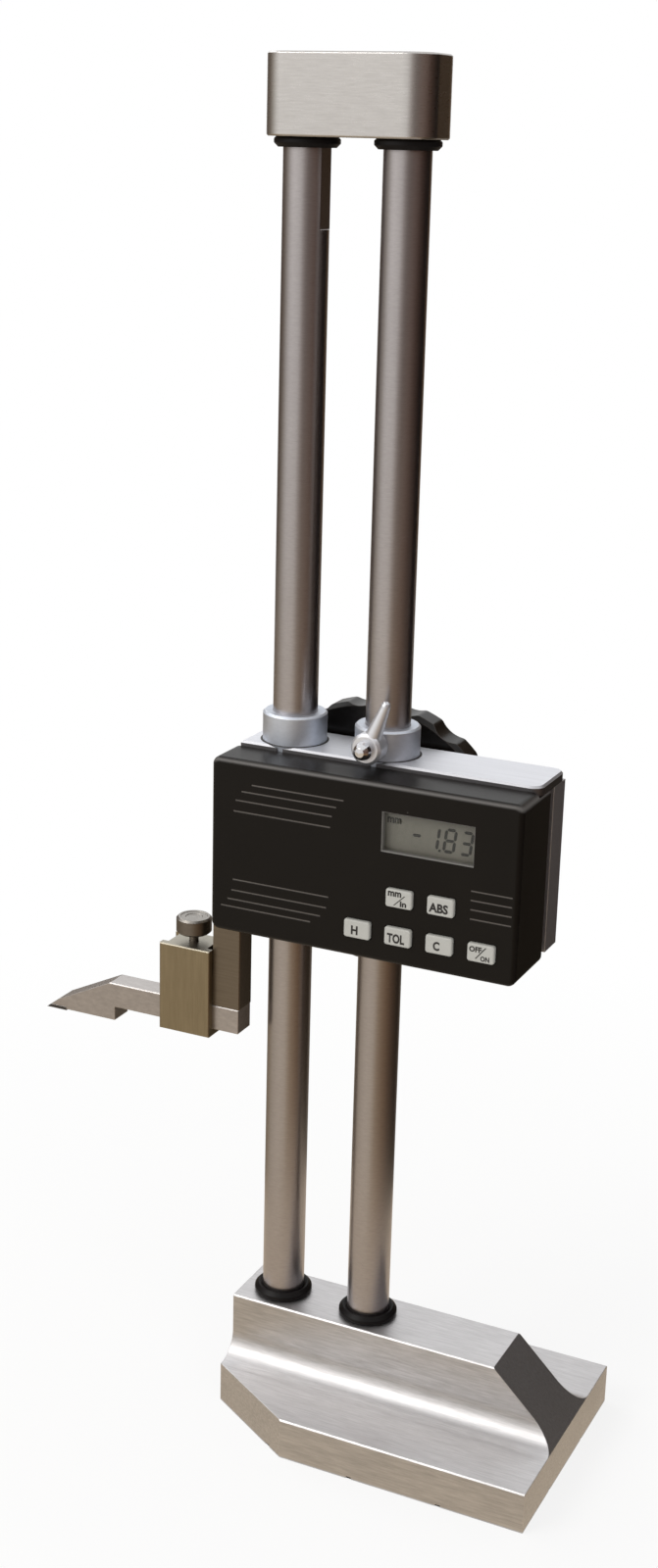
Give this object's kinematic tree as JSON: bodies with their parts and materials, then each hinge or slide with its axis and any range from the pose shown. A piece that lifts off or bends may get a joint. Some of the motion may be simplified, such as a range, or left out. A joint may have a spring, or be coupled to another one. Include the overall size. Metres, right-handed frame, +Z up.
{
  "type": "height gauge",
  "caption": "Twin-column digital height gauge: a slider with display, handwheel drive, lock lever and clamped scriber on a heavy ground base.",
  "frame": {"origin": "on the underside of the base, midway between the two column axes", "axes": "+Z up along the columns, +X along the base away from the scriber, -Y towards the reader of the display"},
  "size_m": [0.2054, 0.086, 0.4661],
  "materials": {
    "ground_steel": "ground satin steel",
    "column_steel": "round-ground steel with a vertical sheen",
    "tool_steel": "hardened and ground steel",
    "dark_steel": "blackened screw steel",
    "rubber": "black rubber",
    "slider_aluminium": "dull grey anodised aluminium",
    "plate_aluminium": "pale satin anodised aluminium",
    "collar_aluminium": "matt blasted aluminium",
    "bronze": "bearing bronze",
    "case_plastic": "satin black moulded plastic",
    "key_plastic": "pale grey plastic",
    "lens_glass": "clear window",
    "display_panel": "grey-green liquid crystal",
    "board": "green circuit board",
    "silicone": "grey silicone",
    "battery_metal": "nickel plate",
    "wheel_plastic": "glossy black moulded wheel",
    "chrome": "bright plated zinc",
    "carbide": "dark carbide"
  },
  "bodies": {
    "base": {"base_block": "ground_steel", "column_left": "column_steel", "column_right": "column_steel", "column_rack": "tool_steel", "base_bolts": "dark_steel", "cap_bolts": "dark_steel", "buffer_lower_left": "rubber", "buffer_lower_right": "rubber", "buffer_upper_left": "rubber", "buffer_upper_right": "rubber", "top_block": "ground_steel"},
    "slider": {"slider_body": "slider_aluminium", "top_plate": "plate_aluminium", "guide_collar_left": "collar_aluminium", "guide_collar_right": "collar_aluminium", "lower_bush_left": "bronze", "lower_bush_right": "bronze", "pinion_bush": "bronze", "encoder_bush": "bronze", "display_case": "case_plastic", "display_lens": "lens_glass", "display_module": "display_panel", "circuit_board": "board", "key_mat": "silicone", "battery": "battery_metal", "battery_cover": "case_plastic", "case_screws": "dark_steel", "jaw_bar": "tool_steel", "jaw_screws": "dark_steel", "lock_shoe": "bronze"},
    "handwheel": {"handwheel": "wheel_plastic", "pinion_shaft": "tool_steel", "drive_pinion": "bronze", "wheel_washer": "dark_steel", "wheel_screw": "dark_steel"},
    "encoder": {"encoder_shaft": "tool_steel", "encoder_pinion": "bronze", "encoder_disc": "tool_steel"},
    "lock_lever": {"lock_lever": "chrome", "lock_screw": "dark_steel", "lock_nut": "chrome"},
    "clamp_frame": {"clamp_frame": "tool_steel"},
    "clamp_screw": {"clamp_screw": "tool_steel", "clamp_pad": "bronze"},
    "scriber": {"scriber": "tool_steel", "scriber_point": "carbide"},
    "key_units": {"key_units": "key_plastic"},
    "key_absolute": {"key_absolute": "key_plastic"},
    "key_hold": {"key_hold": "key_plastic"},
    "key_tolerance": {"key_tolerance": "key_plastic"},
    "key_clear": {"key_clear": "key_plastic"},
    "key_power": {"key_power": "key_plastic"}
  },
  "joints": [
    {"name": "slider_travel", "type": "slide", "parent": "base", "child": "slider", "axis": [0, 0, 1], "range_m": [-0.1345, 0.1799]},
    {"name": "handwheel_turn", "type": "hinge", "parent": "slider", "child": "handwheel", "pos_m": [0.005, 0, 0.213], "axis": [0, 1, 0], "continuous": true},
    {"name": "encoder_turn", "type": "hinge", "parent": "slider", "child": "encoder", "pos_m": [0.005, 0, 0.22871], "axis": [0, 1, 0], "continuous": true},
    {"name": "lock_lever_turn", "type": "hinge", "parent": "slider", "child": "lock_lever", "pos_m": [0.017, 0, 0.2536], "axis": [0, 1, 0], "range_deg": [-95, 25]},
    {"name": "clamp_slide", "type": "slide", "parent": "slider", "child": "clamp_frame", "axis": [1, 0, 0], "range_m": [-0.006, 0]},
    {"name": "clamp_screw_turn", "type": "hinge", "parent": "clamp_frame", "child": "clamp_screw", "pos_m": [-0.05213, -0.0056, 0.17], "axis": [0, 0, 1], "range_deg": [0, 300]},
    {"name": "scriber_slide", "type": "slide", "parent": "slider", "child": "scriber", "axis": [1, 0, 0], "range_m": [-0.014, 0]},
    {"name": "key_units_press", "type": "slide", "parent": "slider", "child": "key_units", "axis": [0, 1, 0], "range_m": [0, 0.0008], "stiffness_N_per_m": 400},
    {"name": "key_absolute_press", "type": "slide", "parent": "slider", "child": "key_absolute", "axis": [0, 1, 0], "range_m": [0, 0.0008], "stiffness_N_per_m": 400},
    {"name": "key_hold_press", "type": "slide", "parent": "slider", "child": "key_hold", "axis": [0, 1, 0], "range_m": [0, 0.0008], "stiffness_N_per_m": 400},
    {"name": "key_tolerance_press", "type": "slide", "parent": "slider", "child": "key_tolerance", "axis": [0, 1, 0], "range_m": [0, 0.0008], "stiffness_N_per_m": 400},
    {"name": "key_clear_press", "type": "slide", "parent": "slider", "child": "key_clear", "axis": [0, 1, 0], "range_m": [0, 0.0008], "stiffness_N_per_m": 400},
    {"name": "key_power_press", "type": "slide", "parent": "slider", "child": "key_power", "axis": [0, 1, 0], "range_m": [0, 0.0008], "stiffness_N_per_m": 400}
  ],
  "couplings": [
    {"joint": "handwheel_turn", "follows": "slider_travel", "rad_per_m": 166.67},
    {"joint": "encoder_turn", "follows": "slider_travel", "rad_per_m": 166.67}
  ]
}
